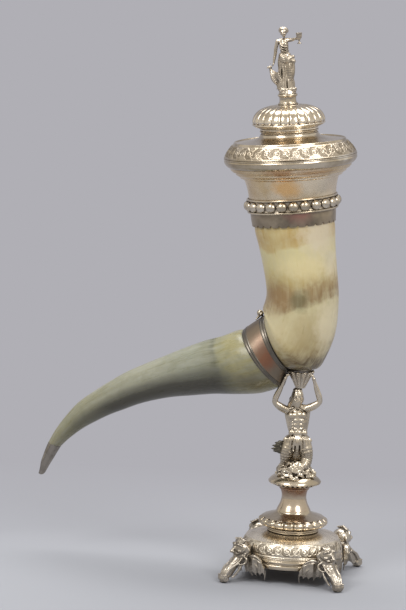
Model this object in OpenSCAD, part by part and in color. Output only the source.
// Covered drinking horn on a figure stem, millimetres, +Z up.
// The stem axis is x = 0, y = 0 and the table is z = 0.

/* [Base] */
// Radius of the ring over the feet
rim_r = 51.5; // [45:0.5:58]
// Height of the underside of the ring over the table
foot_clear_h = 15; // [10:0.5:20]
// Height of the ring
rim_h = 10; // [7:0.5:14]
// Width of the ring's section
rim_w = 5.5; // [4:0.5:8]
// Rise of the spun base over the ring
dome_rise = 21; // [16:0.5:26]
// Thickness of the spun and cast silver walls
wall = 1.4; // [1:0.1:2]
// Number of feet
foot_count = 4; // [3:1:6]
// Azimuth of the first foot
foot_turn = 36; // [0:1:90]
// Reach of a toe from the stem axis
toe_r = 81; // [72:1:90]
// Radius of a toe's scroll
toe_scroll_r = 4.2; // [3:0.1:6]
// Width of a toe's scroll
toe_w = 9; // [6:0.5:12]
// Height of a foot's crown over the table
foot_h = 45; // [38:1:50]

/* [Stem] */
// Radius of the collar
collar_r = 26; // [20:0.5:30]
// Height of the collar
collar_h = 4.5; // [3:0.5:7]
// Radius of the knop over its lobes
knop_r = 35; // [28:0.5:40]
// Height of the knop with its shoulder
knop_h = 17; // [12:0.5:22]
// Number of lobes on the knop
knop_lobes = 20; // [12:1:26]
// Depth of the valleys between the lobes
knop_valley = 2.4; // [1:0.1:3]
// Smallest radius of the turned waist
waist_r = 12.4; // [10:0.1:16]
// Height of the turned waist
waist_h = 26; // [20:0.5:34]
// Radius of the beaded disc
disc_r = 26; // [22:0.5:30]
// Height of the beaded disc
disc_h = 6; // [4:0.5:9]
// Height of the rocks
rock_h = 17; // [12:0.5:22]
// Radius of the rocks
rock_r = 21; // [16:0.5:25]
// Height of the figure from the disc to the shell
figure_h = 92; // [80:0.5:104]
// Height of the shell over the figure
shell_h = 17.3; // [12:0.1:20]
// Radius of the shell's rim
shell_r = 13.7; // [11:0.1:18]
// Place of the shell beside the stem axis
shell_x = 1.7; // [0:0.1:4]
// Number of flutes on the shell
shell_flutes = 12; // [8:1:18]
// Radius of the dish under the horn
saddle_r = 11.6; // [9:0.1:15]
// Place of the dish beside the stem axis
saddle_x = 6.8; // [0:0.1:12]
// Radius of the tie rod
rod_r = 2.5; // [2:0.1:3.5]

/* [Horn] */
// Length of the horn, from the stem to the tip
horn_length = 270; // [240:1:300]
// Turn of the horn's plane away from the front
horn_turn = 15; // [0:1:30]
// Thickness of the horn's wall
horn_wall = 3.4; // [2.5:0.1:5]
// Height of the band's edge mouldings over the band
moulding_h = 0.6; // [0.4:0.1:1]
// Radius of the ball on the band's leaf
leaf_ball_r = 3; // [2:0.1:4]

/* [Mount] */
// Lean of the mouth over the horn's plane
mouth_lean = 4.8; // [0:0.1:10]
// Lean of the bead ring
bead_lean = 6.5; // [0:0.1:12]
// Reach of the beads over the sleeve
bead_reach = 5.7; // [3:0.1:9]
// Height of a bead
bead_h = 10; // [7:0.1:13]
// Number of beads
bead_count = 24; // [18:1:32]
// Depth of the valleys between the beads
bead_valley = 3; // [1:0.1:4]
// Reach of the sleeve under the bead ring's middle
skirt_h = 18; // [12:0.1:24]
// Reach of the mount's lip over the sleeve
lip_reach = 14.4; // [10:0.1:18]
// Height of the lip's steps
lip_h = 10; // [8:0.1:13]
// Thickness of the beading wires
wire_d = 2.2; // [1.4:0.1:3]

/* [Lid] */
// Reach of the lid over the mount's lip
lid_reach = 8; // [5:0.1:14]
// Depth of the rolled edge under the widest line
lid_edge_h = 8; // [5:0.1:12]
// Height of the cover over the widest line
cover_h = 31; // [25:0.5:38]
// Distance from the lid's widest line in to the small dome's
dome_inset = 29; // [24:0.1:36]
// Height of the small dome
dome_h = 22; // [16:0.5:28]
// Number of lobes on the dome
dome_lobes = 24; // [16:1:32]
// Depth of the valleys between the lobes
dome_valley = 1.6; // [0.6:0.1:2.5]
// Reach of the bezel under the cover over the sleeve
bezel_reach = 3.4; // [2.5:0.1:6]
// Depth of the bezel under the rolled edge
bezel_h = 8; // [5:0.1:12]
// Travel of the lid off the mouth
lid_travel = 80; // [40:1:120]

/* [Finial] */
// Height of the spool under the figure
pedestal_h = 10.5; // [8:0.1:14]
// Radius of the spool's flanges
pedestal_r = 9.8; // [8:0.1:12]
// Height of the figure with its rock
woman_h = 67; // [60:0.5:75]
// Height of the goblet
goblet_h = 10.8; // [8:0.1:14]
// Radius of the goblet
goblet_r = 3.3; // [2.5:0.1:4.5]
// Radius of the stud
stud_r = 1.6; // [1.2:0.1:2.5]

/* [Fits] */
// Clearance of the bezel in the mouth, of the horn in its sleeves and of rods in their bores
fit = 0.3; // [0.2:0.05:0.5]

/* [Quality] */
// Sides of the horn's sections
horn_sides = 24; // [24:2:48]
// Sides of the figures' limbs
limb_sides = 8; // [7:1:14]
// Facets across one lobe, flute or bead
lobe_steps = 3; // [3:1:9]
// Sides of the feet's limbs
foot_sides = 6; // [5:1:10]

/* [Hidden] */
rim_z = foot_clear_h;
base_z = rim_z + rim_h;
collar_z = base_z + dome_rise;
knop_z = collar_z + collar_h;
waist_z = knop_z + knop_h;
disc_z = waist_z + waist_h;
rock_z = disc_z + disc_h;
shell_z = rock_z + figure_h;
horn_z = shell_z + shell_h + wall + fit;
sleeve_top = bead_h / 2 + wire_d;
rod_bore = rod_r + fit;
mouth_place_shares = [-0.073, 0.7896];
bead_place_shares = [-0.06, 0.6315];
mouth_x = mouth_place_shares[0] * horn_length;
mouth_z = horn_z + mouth_place_shares[1] * horn_length;
bead_x = bead_place_shares[0] * horn_length;
bead_z = horn_z + bead_place_shares[1] * horn_length;
horn_mouth_share = 0.1541;
horn_mouth_r = horn_mouth_share * horn_length;
sleeve_r = horn_mouth_r + wall;
skirt_r = horn_mouth_r * 0.995;
bead_r = sleeve_r + bead_reach;
bezel_r = sleeve_r + bezel_reach;
lip_r = sleeve_r + lip_reach;
lid_r = lip_r + lid_reach;
dome_r = lid_r - dome_inset;
stud_bore = stud_r + fit;
over = wall;
$fn = 72;

// Outlines of the turned pieces, as shares of their radius and height.
base_rim_shares = [[0.972, 0], [1, 0.14], [1, 0.43], [0.976, 0.5], [0.976, 0.62],
    [0.994, 0.69], [0.994, 0.88], [0.972, 1]];
base_dome_shares = [[0.97, 0], [0.978, 0.14], [0.968, 0.33], [0.944, 0.52],
    [0.905, 0.68], [0.885, 0.73], [0.85, 0.765], [0.74, 0.86], [0.62, 0.93],
    [0.5, 0.975], [0.4, 1]];
collar_shares = [[0.9, 0], [1, 0.2], [1, 0.4], [0.975, 0.47], [0.975, 0.55],
    [1, 0.62], [0.99, 0.85], [0.93, 1]];
knop_shares = [[0.7, 0, 0], [0.93, 0.1, 0.9], [1, 0.3, 1], [0.93, 0.52, 0.9],
    [0.82, 0.585, 0], [0.6, 0.74, 0], [0.47, 1, 0]];
neck_shares = [[1.36, 0], [1.28, 0.08], [1.12, 0.24], [1.02, 0.42], [1, 0.52],
    [1.03, 0.66], [1.12, 0.8], [1.32, 0.9], [1.62, 0.96], [1.75, 1]];
disc_shares = [[0.68, 0], [0.88, 0.1], [0.94, 0.3], [0.94, 0.62], [0.9, 0.75],
    [0.86, 0.9], [0.8, 1]];
shell_shares = [[0.36, 0, 0], [0.42, 0.12, 0.3], [0.55, 0.36, 0.8], [0.76, 0.64, 1],
    [0.98, 0.9, 1], [1, 1, 0.7]];
bead_shares = [[0.955, -0.5, 0.6], [1, -0.18, 1], [1, 0.18, 1], [0.955, 0.5, 0.6]];
pedestal_shares = [[0.95, 0], [1, 0.08], [0.96, 0.17], [0.87, 0.28], [0.85, 0.5],
    [0.87, 0.72], [0.96, 0.83], [1, 0.92], [0.93, 1]];
goblet_shares = [[0, 0], [0.62, 0], [0.6, 0.08], [0.2, 0.18], [0.18, 0.38],
    [0.55, 0.46], [0.85, 0.62], [0.9, 0.82], [1, 1], [0.86, 1], [0.76, 0.82],
    [0.66, 0.64], [0, 0.56]];
dome_shares = [[0.84, 0, 0], [0.89, 0.13, 0], [1, 0.25, 0.3],
    [0.965, 0.47, 1], [0.86, 0.69, 1], [0.67, 0.88, 0.9], [0.3, 1, 0.2]];
dome_inner_shares = [[0.76, 0.6], [0.78, 0]];
cover_top_shares = [[0.475, 1], [0.482, 0.99], [0.484, 0.97], [0.455, 0.945],
    [0.45, 0.86], [0.465, 0.8], [0.53, 0.71], [0.66, 0.615], [0.78, 0.565],
    [0.835, 0.56], [0.85, 0.545], [0.852, 0.52], [0.88, 0.475], [0.925, 0.36],
    [0.968, 0.22], [0.992, 0.11], [0.994, 0.09], [1, 0.06], [1, 0]];
cover_under_shares = [[0.44, 0.95], [0.425, 0.8], [0.52, 0.65], [0.66, 0.555],
    [0.835, 0.49], [0.925, 0.25], [0.955, 0]];
cover_edge_shares = [[0.998, 0.15], [0.985, 0.4], [0.96, 0.7], [0.92, 1]];
lip_shares = [[1, 0], [1, 0.22], [0.97, 0.28], [0.968, 0.46], [0.92, 0.6],
    [0.905, 0.86], [0.868, 0.95], [0.818, 1.25], [0.792, 1.75], [0.774, 2.45],
    [0.766, 3.2], [0.765, 3.6]];

// Sections of the horn in its own plane, as shares of horn_length:
// place, height over the stem, radius, then the lean in degrees.
upper_horn_shares = [
    [-0.0663, 0.7167, horn_mouth_share, 5.6],
    [-0.0607, 0.6519, 0.1519, 6.6],
    [-0.0544, 0.5874, 0.1485, 8.0],
    [-0.0452, 0.5211, 0.1463, 5.8],
    [-0.0352, 0.4626, 0.1411, 3.0],
    [-0.0219, 0.3889, 0.1367, 0.0],
    [-0.0107, 0.3115, 0.1363, -4.5],
    [-0.0074, 0.2485, 0.1393, -12.0],
    [-0.0126, 0.1919, 0.1459, -23.9],
    [-0.0289, 0.1419, 0.1515, -38.3],
    [-0.0409, 0.1204, 0.1537, -45.6],
    [-0.0593, 0.1131, 0.1439, -50.9],
    [-0.0824, 0.1098, 0.1300, -57.7],
    [-0.0996, 0.1044, 0.1185, -61.9]];
lower_horn_shares = [
    [-0.1096, 0.0900, 0.1130, -59.7],
    [-0.1481, 0.0341, 0.1181, -50.9],
    [-0.1481, 0.0341, 0.1230, -50.9],
    [-0.1978, 0.0163, 0.1215, -64.4],
    [-0.2726, -0.0037, 0.1100, -71.4],
    [-0.3474, -0.0233, 0.1011, -75.6],
    [-0.4285, -0.0467, 0.0904, -76.7],
    [-0.5078, -0.0719, 0.0781, -76.4],
    [-0.5796, -0.1000, 0.0670, -72.6],
    [-0.6456, -0.1285, 0.0607, -67.1],
    [-0.7074, -0.1611, 0.0537, -59.5],
    [-0.7637, -0.1937, 0.0489, -53.6],
    [-0.8200, -0.2333, 0.0441, -45.8],
    [-0.8685, -0.2744, 0.0374, -40.2],
    [-0.9137, -0.3237, 0.0300, -26.8],
    [-0.9444, -0.3663, 0.0244, -15.5]];
tip_cap_shares = [
    [-0.9444, -0.3663, 0.0256, -15.5],
    [-0.9678, -0.4167, 0.0219, -9.5],
    [-0.9859, -0.4630, 0.0148, -9.5],
    [-0.9941, -0.4833, 0.0111, -3.0],
    [-0.9974, -0.4930, 0.0052, 0.0]];
leaf_place_shares = [-0.1751, 0.2086];
band_shares = [
    [-0.0996, 0.1044, 0.1178, -61.9],
    [-0.1096, 0.0900, 0.1193, -59.7],
    [-0.1378, 0.0489, 0.1230, -53.2],
    [-0.1481, 0.0341, 0.1237, -50.9]];

// Points of the figures as shares of their height: x, y, z, radius.
hip_shares = [[0.002, 0, 0.43, 0.13], [0.01, 0, 0.5, 0.095]];
belly_shares = [[0.01, 0, 0.5, 0.095], [0, -0.005, 0.58, 0.095], [0.055, 0, 0.66, 0.085],
    [0.075, 0, 0.745, 0.045]];
chest_shares = [[0, -0.005, 0.58, 0.095], [-0.065, 0, 0.655, 0.085],
    [-0.09, 0, 0.735, 0.045]];
breast_shares = [[-0.05, -0.01, 0.69, 0.075], [0.04, -0.01, 0.7, 0.075],
    [-0.01, 0, 0.8, 0.045]];
head_shares = [[-0.01, 0, 0.8, 0.045], [-0.01, -0.015, 0.865, 0.07],
    [-0.01, 0.005, 0.945, 0.062]];
hair_shares = [[-0.06, 0.03, 0.83, 0.05], [-0.04, 0.03, 0.9, 0.06],
    [0.03, 0.03, 0.88, 0.055]];
beard_shares = [[-0.01, -0.05, 0.85, 0.045], [-0.012, -0.075, 0.79, 0.025]];
front_tail_shares = [[0, 0, 0.43, 0.12], [0.09, -0.06, 0.33, 0.09],
    [0.11, -0.1, 0.22, 0.078], [0.02, -0.14, 0.165, 0.068], [-0.09, -0.12, 0.185, 0.05],
    [-0.165, -0.06, 0.24, 0.034], [-0.2, -0.03, 0.3, 0.022]];
back_tail_shares = [[0, 0, 0.43, 0.12], [-0.1, 0.05, 0.33, 0.085],
    [-0.11, 0.1, 0.23, 0.07], [-0.02, 0.14, 0.18, 0.06], [0.09, 0.12, 0.2, 0.046],
    [0.14, 0.05, 0.27, 0.03]];
left_arm_shares = [[-0.105, 0, 0.75, 0.042], [-0.222, -0.03, 0.83, 0.033],
    [-0.15, -0.07, 1.06, 0.026], [-0.125, -0.085, 1.11, 0.026],
    [-0.105, -0.1, 1.145, 0.02]];
right_arm_shares = [[0.09, 0, 0.76, 0.042], [0.206, -0.03, 0.85, 0.033],
    [0.155, -0.07, 1.07, 0.026], [0.14, -0.08, 1.12, 0.026],
    [0.125, -0.095, 1.155, 0.02]];
fin_shares = [[[-0.2, -0.03, 0.3, 0.02], [-0.31, -0.06, 0.36, 0.012]],
    [[-0.2, -0.03, 0.3, 0.02], [-0.33, -0.03, 0.31, 0.012]],
    [[-0.2, -0.03, 0.3, 0.02], [-0.29, -0.02, 0.25, 0.012]],
    [[-0.2, -0.03, 0.3, 0.02], [-0.24, -0.01, 0.38, 0.012]]];
rock_shares = [[1, 0], [1.06, 0.12], [0.96, 0.3], [0.85, 0.5], [0.78, 0.7],
    [0.6, 0.88], [0.3, 1]];
skirt_left_shares = [[-0.03, 0, 0.57, 0.085], [-0.045, 0, 0.4, 0.1],
    [-0.06, 0, 0.2, 0.105], [-0.06, 0, 0.09, 0.105]];
skirt_right_shares = [[0.02, 0, 0.57, 0.08], [0.04, -0.01, 0.48, 0.085],
    [0.035, 0, 0.25, 0.095], [0.03, 0, 0.09, 0.1]];
bodice_shares = [[-0.01, 0, 0.57, 0.085], [-0.015, 0, 0.66, 0.068],
    [-0.02, -0.01, 0.76, 0.078], [-0.025, 0, 0.83, 0.035], [-0.01, 0, 0.88, 0.03]];
woman_head_shares = [[-0.01, -0.005, 0.93, 0.055], [-0.01, 0.015, 0.95, 0.055]];
hang_arm_shares = [[-0.105, 0, 0.805, 0.036], [-0.165, 0, 0.62, 0.028],
    [-0.175, -0.03, 0.47, 0.024]];
raised_arm_shares = [[0.06, 0, 0.815, 0.036], [0.15, -0.03, 0.77, 0.027],
    [0.19, -0.05, 0.805, 0.02]];
drape_shares = [[0.06, 0, 0.56, 0.05], [0.085, 0, 0.44, 0.04], [0.07, -0.03, 0.3, 0.04]];
bird_shares = [[[-0.13, 0, 0.13, 0.03], [-0.14, -0.01, 0.22, 0.06]],
    [[-0.14, -0.01, 0.22, 0.06], [-0.17, -0.02, 0.28, 0.045]],
    [[-0.17, -0.02, 0.28, 0.045], [-0.225, -0.03, 0.32, 0.028]],
    [[-0.225, -0.03, 0.32, 0.028], [-0.215, -0.03, 0.38, 0.024]],
    [[-0.215, -0.03, 0.38, 0.024], [-0.225, -0.035, 0.415, 0.028]],
    [[-0.225, -0.035, 0.415, 0.026], [-0.265, -0.045, 0.4, 0.01]],
    [[-0.225, -0.03, 0.42, 0.02], [-0.2, -0.02, 0.45, 0.012]],
    [[-0.16, 0, 0.24, 0.045], [-0.125, 0.02, 0.12, 0.02]],
    [[-0.16, -0.03, 0.2, 0.03], [-0.17, -0.03, 0.09, 0.02]]];

// Points of a foot: reach over the ring as a share of the toe's, side and height
// as shares of the foot's height, then the radius.
mask_shares = [[[0.1, 0, 0.86, 0.15], [0.13, 0, 0.6, 0.13]],
    [[0.16, 0.09, 0.76, 0.09], [0.16, -0.09, 0.76, 0.09]],
    [[0.26, 0, 0.76, 0.06], [0.33, 0, 0.66, 0.05]],
    [[0.12, 0, 0.9, 0.1], [0.04, 0, 0.96, 0.05]]];
leg_shares = [[0.16, 0, 0.56, 0.12], [0.42, 0, 0.41, 0.1], [0.66, 0, 0.24, 0.085],
    [0.95, 0, 0.12, 0.065]];
bracket_shares = [[-0.02, 0.1, 0.5, 0.08], [-0.02, -0.1, 0.5, 0.08],
    [0.12, 0, 0.45, 0.12]];
// Outline of a wing as shares of the foot's height: side, height.
wing_shares = [[-0.2, 0.52], [-0.2, 0.9], [-0.13, 0.97], [-0.03, 0.99], [0.1, 0.93],
    [0.22, 0.8], [0.31, 0.6], [0.35, 0.4], [0.34, 0.19], [0.27, 0.36], [0.2, 0.23],
    [0.12, 0.42], [0.03, 0.3], [-0.06, 0.48]];
wing_turn = 18;
wing_w = wall * 2.2;

function scaled(rows, r, h) = [for (p = rows) [p[0] * r, p[1] * h]];
function horn_point(s, i, grow) =
    let (t = 360 * i / horn_sides, r = s[2] * horn_length + grow)
    [s[0] * horn_length + r * cos(t) * cos(s[3]), r * sin(t),
        s[1] * horn_length + r * cos(t) * sin(s[3])];
function horn_ring(s, grow) = [for (i = [0 : horn_sides - 1]) horn_point(s, i, grow)];
function horn_rings(rows, grow) = [for (s = rows) horn_ring(s, grow)];
function turned(rows) = [for (i = [len(rows) - 1 : -1 : 0]) rows[i]];
function part_of(rows, first, last) = [for (i = [first : last]) rows[i]];
function lobed_ring(p, r, h, lobes, valley, steps) = [for (i = [0 : lobes * steps - 1])
    let (t = 360 * i / (lobes * steps), w = max(0, 2 * abs(cos(lobes * t / 2)) - 1),
        q = p[0] * r - p[2] * valley * w)
    [q * cos(t), q * sin(t), p[1] * h]];
function lobed_rings(rows, r, h, lobes, valley, steps) =
    [for (p = rows) lobed_ring(p, r, h, lobes, valley, steps)];

// A solid through rings of points, closed on itself or capped at both ends.
module ring_solid(rings, closed = false) {
    n = len(rings[0]);
    m = len(rings);
    last = closed ? m - 1 : m - 2;
    sides = [for (j = [0 : last], i = [0 : n - 1])
        let (a = j * n + i, b = j * n + (i + 1) % n, k = (j + 1) % m,
            c = k * n + (i + 1) % n, d = k * n + i)
        each [[a, c, b], [a, d, c]]];
    caps = closed ? [] : [[for (i = [0 : n - 1]) i],
        [for (i = [n - 1 : -1 : 0]) (m - 1) * n + i]];
    polyhedron(points = [for (r = rings) each r], faces = concat(sides, caps));
}

module spun(rows) {
    rotate_extrude() polygon(rows);
}

module ball(p, unit) {
    translate([p[0] * unit, p[1] * unit, p[2] * unit])
        sphere(r = p[3] * unit, $fn = limb_sides);
}

module limb(rows, unit) {
    for (i = [0 : len(rows) - 2]) {
        hull() {
            ball(rows[i], unit);
            ball(rows[i + 1], unit);
        }
    }
}

module horn_place() {
    rotate([0, 0, -horn_turn]) translate([0, 0, horn_z]) children();
}

module mouth_place() {
    rotate([0, 0, -horn_turn]) translate([mouth_x, 0, mouth_z])
        rotate([0, -mouth_lean, 0]) children();
}

module bead_place() {
    rotate([0, 0, -horn_turn]) translate([bead_x, 0, bead_z])
        rotate([0, -bead_lean, 0]) children();
}

// Lid
module lid_cover() {
    under = concat([[stud_bore, cover_h], [stud_bore, cover_h - wall]],
        scaled(cover_under_shares, lid_r, cover_h),
        [[lid_r * 0.9, -lid_edge_h + wall], [bezel_r + wall / 2, -lid_edge_h + wall],
        [bezel_r + wall / 2, -lid_edge_h]]);
    rows = concat(scaled(cover_top_shares, lid_r, cover_h),
        scaled(cover_edge_shares, lid_r, -lid_edge_h), turned(under));
    color("silver") mouth_place() spun(rows);
}

module lid_bezel() {
    rows = [[bezel_r - wall, -lid_edge_h - bezel_h], [bezel_r, -lid_edge_h - bezel_h],
        [bezel_r, -lid_edge_h], [bezel_r + wall / 2, -lid_edge_h],
        [bezel_r + wall / 2, -lid_edge_h + wall], [bezel_r + wall / 2, -lid_edge_h + wall * 2],
        [bezel_r - wall, -lid_edge_h + wall * 2]];
    color("silver") mouth_place() spun(rows);
}

module lid_dome() {
    outer = lobed_rings(dome_shares, dome_r, dome_h, dome_lobes, dome_valley, lobe_steps);
    inner_rows = concat([[stud_bore / dome_r, 1, 0], [stud_bore / dome_r, 0.88, 0]],
        [for (p = dome_inner_shares) [p[0], p[1], 0]]);
    inner = lobed_rings(inner_rows, dome_r, dome_h, dome_lobes, dome_valley, lobe_steps);
    color("silver") mouth_place() translate([0, 0, cover_h])
        ring_solid(concat(outer, inner), true);
}

module finial_pedestal() {
    rows = concat([[stud_bore, 0]], scaled(pedestal_shares, pedestal_r, pedestal_h),
        [[stud_bore, pedestal_h]]);
    color("silver") mouth_place() translate([0, 0, cover_h + dome_h]) spun(rows);
}

module finial_place() {
    mouth_place() translate([0, 0, cover_h + dome_h + pedestal_h]) children();
}

module finial_woman() {
    color("silver") finial_place() {
        difference() {
            union() {
                cylinder(r1 = pedestal_r * 0.95, r2 = pedestal_r * 0.75, h = woman_h * 0.08,
                    $fn = 11);
                limb(skirt_left_shares, woman_h);
                limb(skirt_right_shares, woman_h);
                limb(bodice_shares, woman_h);
                limb(woman_head_shares, woman_h);
                limb(hang_arm_shares, woman_h);
                limb(raised_arm_shares, woman_h);
                limb(drape_shares, woman_h);
                hull() {
                    ball(hang_arm_shares[0], woman_h);
                    ball(raised_arm_shares[0], woman_h);
                }
            }
            translate([0, 0, -over]) cylinder(r = stud_bore, h = woman_h * 0.2 + over, $fn = 12);
            translate([0, 0, -pedestal_h]) cylinder(r = pedestal_r * 2, h = pedestal_h, $fn = 12);
            goblet_form(fit);
        }
    }
}

module goblet_form(grow) {
    translate([woman_h * 0.228, -woman_h * 0.05, woman_h * 0.735])
        rotate_extrude($fn = 24) polygon(scaled(goblet_shares, goblet_r + grow, goblet_h));
}

module finial_goblet() {
    color("silver") finial_place() goblet_form(0);
}

module finial_bird() {
    color("silver") finial_place() {
        difference() {
            for (pair = bird_shares) {
                hull() {
                    ball(pair[0], woman_h);
                    ball(pair[1], woman_h);
                }
            }
            hull() {
                ball(skirt_left_shares[1], woman_h);
                ball(skirt_left_shares[2], woman_h);
            }
            hull() {
                ball(skirt_left_shares[2], woman_h);
                ball(skirt_left_shares[3], woman_h);
            }
            translate([0, 0, -over]) cylinder(r = pedestal_r * 2, h = woman_h * 0.08 + over,
                $fn = 11);
        }
    }
}

module finial_stud() {
    low = cover_h - wall - stud_r * 4;
    color("silver") mouth_place() translate([0, 0, low])
        cylinder(r = stud_r, h = cover_h + dome_h + pedestal_h + woman_h * 0.18 - low);
}

module finial_washer() {
    rows = [[stud_bore, 0], [stud_r * 3.2, 0], [stud_r * 3.2, stud_r * 0.6],
        [stud_bore, stud_r * 0.6]];
    color("silver") mouth_place() translate([0, 0, cover_h - wall - stud_r * 0.6 - fit / 3])
        spun(rows);
}

module finial_nut() {
    color("silver") mouth_place() translate([0, 0, cover_h - wall - stud_r * 2.6 - fit / 3])
        difference() {
            cylinder(r = stud_r * 2.4, h = stud_r * 2, $fn = 6);
            translate([0, 0, -over]) cylinder(r = stud_r, h = stud_r * 2 + over * 2);
        }
}

// Mouth mount
module rim_mount() {
    outer = [for (p = lip_shares) [p[0] * lip_r, -lid_edge_h - p[1] * lip_h]];
    bore = bezel_r + fit;
    inner = [[bore, -lid_edge_h], [bore, -lid_edge_h - bezel_h - wall],
        [sleeve_r + wall, -lid_edge_h - bezel_h - wall * 3],
        [sleeve_r - wall / 2, -lid_edge_h - bezel_h - wall * 6],
        [sleeve_r - wall / 2, -lid_edge_h - lip_shares[len(lip_shares) - 1][1] * lip_h]];
    color("silver") difference() {
        mouth_place() spun(concat(outer, turned(inner)));
        bead_place() translate([0, 0, sleeve_top - lip_h * 3])
            cylinder(r = lip_r * 2, h = lip_h * 3);
    }
}

module bead_wire(low) {
    bead_place() translate([0, 0, low]) rotate_extrude()
        translate([sleeve_r, -wire_d / 2]) union() {
            square([wire_d * 0.6, wire_d]);
            translate([wire_d * 0.6, wire_d / 2]) circle(d = wire_d, $fn = 16);
        }
}

module bead_wire_upper() {
    color("silver") bead_wire(bead_h / 2 + wire_d / 2);
}

module bead_wire_lower() {
    color("silver") bead_wire(-bead_h / 2 - wire_d / 2);
}

module bead_ring() {
    inner_share = (sleeve_r + fit) / bead_r;
    rows = concat([[inner_share, -0.5, 0]], bead_shares, [[inner_share, 0.5, 0]]);
    color("silver") bead_place() rotate([0, 0, 180 / bead_count])
        ring_solid(lobed_rings(rows, bead_r, bead_h, bead_count, bead_valley, lobe_steps), true);
}

module mount_skirt() {
    top = sleeve_top;
    rows = [[sleeve_r - wall * 0.8, top], [sleeve_r, top], [sleeve_r, -top],
        [sleeve_r - wall * 0.4, -top - wall * 0.4], [skirt_r, -skirt_h],
        [skirt_r - wall * 0.7, -skirt_h], [sleeve_r - wall * 1.2, -top]];
    color("silver") bead_place() spun(rows);
}

// Horn
module upper_horn() {
    outer = horn_rings(upper_horn_shares, 0);
    last = len(upper_horn_shares) - 1;
    inner = horn_rings([for (i = [0 : last]) if (i % 2 == 0 || i == last)
        upper_horn_shares[i]], -horn_wall);
    color("wheat") horn_place() ring_solid(concat(turned(outer), inner), true);
}

module horn_band() {
    spigot_r = upper_horn_shares[13][2] - (horn_wall + fit) / horn_length;
    spigot = [for (i = [12, 13]) let (p = upper_horn_shares[i]) [p[0], p[1], spigot_r, p[3]]];
    outer = horn_rings(concat(spigot, band_shares), 0);
    inner = horn_rings(concat(spigot, part_of(band_shares, 1, 3)), -wall);
    color("silver") horn_place() ring_solid(concat(turned(outer), inner), true);
}

module band_edge(first) {
    rows = part_of(band_shares, first, first + 1);
    outer = horn_rings(rows, moulding_h);
    inner = horn_rings(rows, fit / 3);
    horn_place() ring_solid(concat(turned(outer), inner), true);
}

module band_edge_upper() {
    color("silver") band_edge(0);
}

module band_edge_lower() {
    color("silver") band_edge(2);
}

module band_ornament() {
    low = leaf_ball_r * 0.45;
    color("silver") horn_place()
        translate([leaf_place_shares[0] * horn_length, 0, leaf_place_shares[1] * horn_length])
            rotate([0, -46, 0]) {
            sphere(r = leaf_ball_r, $fn = 12);
            for (side = [-1 : 1]) {
                hull() {
                    translate([0, 0, -leaf_ball_r * 0.5]) sphere(r = low, $fn = 6);
                    translate([leaf_ball_r * 0.3, side * leaf_ball_r * 1.4, -leaf_ball_r * 0.55])
                        sphere(r = low, $fn = 6);
                }
                hull() {
                    translate([0, 0, -leaf_ball_r * 0.5]) sphere(r = low, $fn = 6);
                    translate([-leaf_ball_r * 2, side * leaf_ball_r * 1.2, -leaf_ball_r * 0.55])
                        sphere(r = low, $fn = 6);
                }
            }
        }
}

module lower_horn() {
    outer = horn_rings(lower_horn_shares, 0);
    tenon = [for (p = part_of(tip_cap_shares, 0, 2)) [p[0], p[1], p[2] * 0.72, p[3]]];
    inner = [for (i = [0, 1, 3, 5, 7, 9, 11])
        horn_ring(lower_horn_shares[i], -horn_wall - i * horn_wall * 0.12)];
    color("dimgray") horn_place()
        ring_solid(concat(turned(horn_rings(tenon, 0)), turned(outer), inner));
}

module horn_tip_cap() {
    inner_rows = [for (p = part_of(tip_cap_shares, 0, 2)) [p[0], p[1], p[2] * 0.72, p[3]]];
    outer = horn_rings(tip_cap_shares, 0);
    color("silver") horn_place()
        ring_solid(concat(turned(outer), horn_rings(inner_rows, fit / 3)));
}

module horn_saddle() {
    // a plate that follows the underside of the bend
    low = fit / 3;
    steps = floor(horn_sides / 6);
    rows = turned(part_of(upper_horn_shares, 8, 13));
    rings = [for (s = rows)
        concat([for (i = [-steps : steps]) horn_point(s, i, low + wall)],
            [for (i = [steps : -1 : -steps]) horn_point(s, i, low)])];
    color("silver") intersection() {
        horn_place() ring_solid(rings);
        translate([saddle_x, 0, shell_z + shell_h]) cylinder(r = saddle_r, h = shell_h);
    }
}

// Stem
module shell_capital() {
    color("silver") shell_form();
}

module merman_form() {
    translate([0, 0, rock_z]) {
        limb(hip_shares, figure_h);
        limb(belly_shares, figure_h);
        limb(chest_shares, figure_h);
        limb(breast_shares, figure_h);
        limb(head_shares, figure_h);
        limb(hair_shares, figure_h);
        limb(beard_shares, figure_h);
        limb(front_tail_shares, figure_h);
        limb(back_tail_shares, figure_h);
    }
}

module shell_form() {
    translate([shell_x, 0, shell_z])
        ring_solid(lobed_rings(shell_shares, shell_r, shell_h, shell_flutes, shell_r * 0.12,
            lobe_steps));
}

module merman_body() {
    color("silver") difference() {
        merman_form();
        translate([shell_x, 0, shell_z]) cylinder(r = shell_r, h = shell_h, $fn = 12);
    }
}

module merman_arms() {
    color("silver") difference() {
        translate([0, 0, rock_z]) {
            limb(left_arm_shares, figure_h);
            limb(right_arm_shares, figure_h);
        }
        merman_form();
        shell_form();
    }
}

module tail_fin() {
    color("silver") difference() {
        translate([0, 0, rock_z]) {
            for (pair = fin_shares) {
                limb(pair, figure_h);
            }
        }
        merman_form();
    }
}

module rockwork() {
    rings = [for (p = rock_shares) [for (i = [0 : 23]) let (t = 15 * i,
        r = p[0] * rock_r * (1 + 0.07 * sin(5 * t + 40 * p[1]) + 0.05 * cos(8 * t - 90 * p[1])))
        [r * cos(t), r * sin(t), p[1] * rock_h]]];
    color("silver") difference() {
        translate([0, 0, rock_z]) ring_solid(rings);
        merman_form();
    }
}

module stem_disc() {
    rows = concat([[rod_bore, 0]], scaled(disc_shares, disc_r, disc_h), [[rod_bore, disc_h]]);
    color("silver") translate([0, 0, disc_z]) spun(rows);
}

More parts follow.
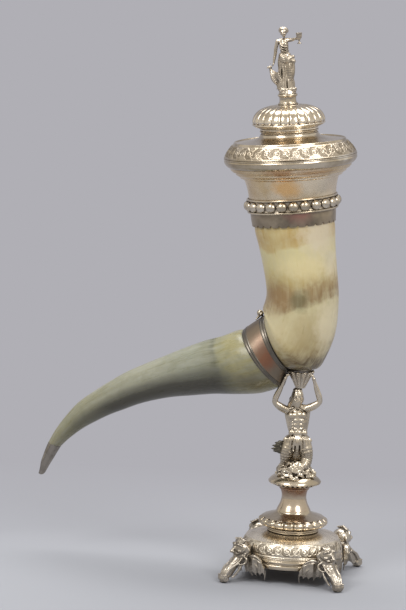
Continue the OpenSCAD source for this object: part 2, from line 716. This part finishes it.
module stem_neck() {
    rows = concat([[rod_bore, 0]], scaled(neck_shares, waist_r, waist_h),
        [[rod_bore, waist_h]]);
    color("silver") translate([0, 0, waist_z]) spun(rows);
}

module stem_knop() {
    rows = concat([[rod_bore / knop_r, 0, 0]], knop_shares, [[rod_bore / knop_r, 1, 0]]);
    color("silver") translate([0, 0, knop_z])
        ring_solid(lobed_rings(rows, knop_r, knop_h, knop_lobes, knop_valley, lobe_steps), true);
}

module stem_collar() {
    rows = concat([[rod_bore, 0]], scaled(collar_shares, collar_r, collar_h),
        [[rod_bore, collar_h]]);
    color("silver") translate([0, 0, collar_z]) spun(rows);
}

module base_dome() {
    outer = scaled(base_dome_shares, rim_r, dome_rise);
    inner = [for (p = outer) [p[0] - wall, max(p[1] - wall, 0)]];
    rows = concat(outer, [[rod_bore, dome_rise], [rod_bore, dome_rise - wall]],
        turned(part_of(inner, 1, len(inner) - 1)), [[rim_r * 0.97 - wall, 0]]);
    color("silver") translate([0, 0, base_z]) spun(rows);
}

module base_rim() {
    rows = concat([[rim_r - rim_w, 0]], scaled(base_rim_shares, rim_r, rim_h),
        [[rim_r - rim_w, rim_h]]);
    color("silver") translate([0, 0, rim_z]) spun(rows);
}

module foot_ball(p) {
    reach = toe_r - rim_r;
    translate([rim_r + p[0] * reach, p[1] * foot_h, p[2] * foot_h])
        sphere(r = p[3] * foot_h, $fn = foot_sides);
}

module wing(flip) {
    rotate([0, 0, flip * wing_turn]) translate([rim_r - wall, 0, 0]) rotate([90, 0, 90])
        linear_extrude(height = wing_w + wall)
            polygon([for (p = wing_shares) [p[0] * foot_h * flip, p[1] * foot_h]]);
}

module foot(index) {
    toe_x = toe_r - toe_scroll_r / 2;
    color("silver") rotate([0, 0, foot_turn + index * 360 / foot_count]) difference() {
        union() {
            for (pair = mask_shares) {
                hull() {
                    foot_ball(pair[0]);
                    foot_ball(pair[1]);
                }
            }
            for (i = [0 : len(leg_shares) - 2]) {
                hull() {
                    foot_ball(leg_shares[i]);
                    foot_ball(leg_shares[i + 1]);
                }
            }
            hull() {
                for (p = bracket_shares) {
                    foot_ball(p);
                }
            }
            wing(1);
            wing(-1);
            translate([toe_x, toe_w / 2, toe_scroll_r]) rotate([90, 0, 0])
                cylinder(r = toe_scroll_r, h = toe_w, $fn = 14);
            translate([toe_x, 0, 0]) cylinder(r = toe_w * 0.4, h = toe_scroll_r, $fn = 12);
        }
        translate([0, 0, -over])
            cylinder(r = (rim_r + fit / 4) / cos(5), h = foot_h * 1.5, $fn = 36);
        translate([toe_x, 0, -toe_w]) cylinder(r = toe_w * 3, h = toe_w);
    }
}

module foot_back_right() {
    foot(0);
}

module foot_back_left() {
    foot(1);
}

module foot_front_left() {
    foot(2);
}

module foot_front_right() {
    foot(3);
}

module tie_rod() {
    low = collar_z - wall - rod_r * 4;
    color("silver") translate([0, 0, low])
        cylinder(r = rod_r, h = rock_z - low);
}

module tie_washer() {
    rows = [[rod_bore, 0], [rod_r * 4, 0], [rod_r * 4, rod_r * 0.6], [rod_bore, rod_r * 0.6]];
    color("silver") translate([0, 0, collar_z - wall - rod_r * 0.6]) spun(rows);
}

module tie_nut() {
    color("silver") translate([0, 0, collar_z - wall - rod_r * 2.6]) difference() {
        cylinder(r = rod_r * 2.2, h = rod_r * 2, $fn = 6);
        translate([0, 0, -over]) cylinder(r = rod_r, h = rod_r * 2 + over * 2);
    }
}

lid_cover();
lid_bezel();
lid_dome();
finial_pedestal();
finial_woman();
finial_goblet();
finial_bird();
finial_stud();
finial_washer();
finial_nut();
rim_mount();
bead_wire_upper();
bead_ring();
bead_wire_lower();
mount_skirt();
upper_horn();
horn_band();
band_edge_upper();
band_edge_lower();
band_ornament();
lower_horn();
horn_tip_cap();
horn_saddle();
shell_capital();
merman_body();
merman_arms();
tail_fin();
rockwork();
stem_disc();
stem_neck();
stem_knop();
stem_collar();
base_dome();
base_rim();
foot_front_left();
foot_front_right();
foot_back_right();
foot_back_left();
tie_rod();
tie_washer();
tie_nut();
